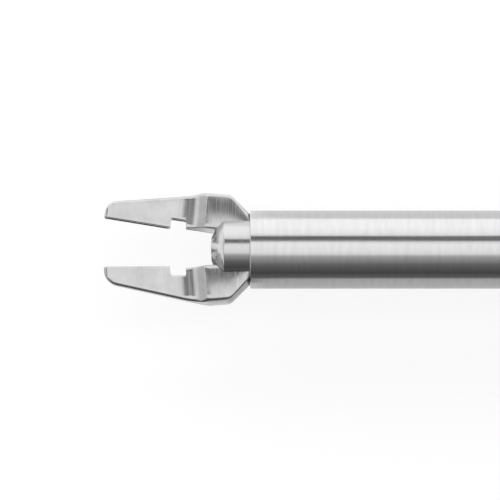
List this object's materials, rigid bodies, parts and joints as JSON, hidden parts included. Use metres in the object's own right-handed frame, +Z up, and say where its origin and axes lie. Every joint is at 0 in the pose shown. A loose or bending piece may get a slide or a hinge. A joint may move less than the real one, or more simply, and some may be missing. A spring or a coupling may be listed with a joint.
{
  "type": "ligating clip applier",
  "caption": "Endoscopic clip applier: two angled jaws closed by a sliding ten millimetre tube, with a turning knob, a flush port and a squeeze handle.",
  "frame": {"origin": "on the shaft axis at the mouth of the outer tube, jaws open", "axes": "+X along the shaft from the mouth to the handle, +Y away from the grips in the plane of the jaws, +Z up with the instrument lying on its side; the jaw tips point to -X and rise to +Z"},
  "size_m": [0.4504, 0.1266, 0.0264],
  "materials": {
    "tube_steel": "drawn stainless steel tube, polished with faint rings",
    "jaw_steel": "hardened stainless steel, fine ground and satin finished",
    "turned_steel": "turned stainless steel",
    "handle_steel": "stainless steel, satin blasted",
    "spring_steel": "drawn spring wire",
    "bush_bronze": "turned bearing bronze",
    "knob_black": "moulded black high temperature plastic",
    "guide_plastic": "turned natural plastic",
    "seal_rubber": "moulded silicone rubber"
  },
  "bodies": {
    "handle": {"handle_shell_right": "handle_steel", "handle_shell_left": "handle_steel", "front_bush": "bush_bronze", "rear_bush": "bush_bronze", "end_cap": "turned_steel", "handle_screws": "turned_steel", "lever_pivot_screw": "turned_steel", "lever_stop_pin": "turned_steel", "thrust_washer": "turned_steel"},
    "rotor": {"rotation_knob": "knob_black", "knob_lock_nut": "turned_steel", "knob_seal": "seal_rubber", "knob_set_screws": "turned_steel", "rod_cross_pin": "turned_steel", "flush_port": "turned_steel", "inner_rod": "turned_steel", "rod_guides": "guide_plastic", "rod_seal": "seal_rubber", "holder_pin": "turned_steel", "jaw_holder": "turned_steel", "jaw_pivot_pin": "turned_steel", "jaw_spring": "spring_steel"},
    "sheath": {"outer_tube": "tube_steel", "drive_sleeve": "turned_steel", "tube_lock_pins": "turned_steel", "return_spring": "spring_steel"},
    "upper_jaw": {"upper_jaw": "jaw_steel"},
    "lower_jaw": {"lower_jaw": "jaw_steel"},
    "lever": {"lever": "handle_steel", "lever_bush": "bush_bronze"}
  },
  "joints": [
    {"name": "shaft_rotation", "type": "hinge", "parent": "handle", "child": "rotor", "pos_m": [0.35, 0, 0], "axis": [1, 0, 0], "continuous": true},
    {"name": "lever_pivot", "type": "hinge", "parent": "handle", "child": "lever", "pos_m": [0.39192, -0.01145, 0], "axis": [0, 0, 1], "range_deg": [0, 10.91], "stiffness_Nm_per_rad": 0.4, "springref_deg": -17.19},
    {"name": "sheath_slide", "type": "slide", "parent": "rotor", "child": "sheath", "axis": [-1, 0, 0], "range_m": [0, 0.00219], "deforming": ["return_spring"]},
    {"name": "upper_jaw_pivot", "type": "hinge", "parent": "rotor", "child": "upper_jaw", "pos_m": [0.018, 0, 0], "axis": [0, 0, 1], "range_deg": [0, 5], "deforming": ["jaw_spring"]},
    {"name": "lower_jaw_pivot", "type": "hinge", "parent": "rotor", "child": "lower_jaw", "pos_m": [0.018, 0, 0], "axis": [0, 0, -1], "range_deg": [0, 5]}
  ],
  "couplings": [
    {"joint": "sheath_slide", "follows": "lever_pivot", "m_per_rad": 0.011483},
    {"joint": "upper_jaw_pivot", "follows": "lever_pivot", "ratio": 0.45815},
    {"joint": "lower_jaw_pivot", "follows": "lever_pivot", "ratio": 0.45815}
  ]
}
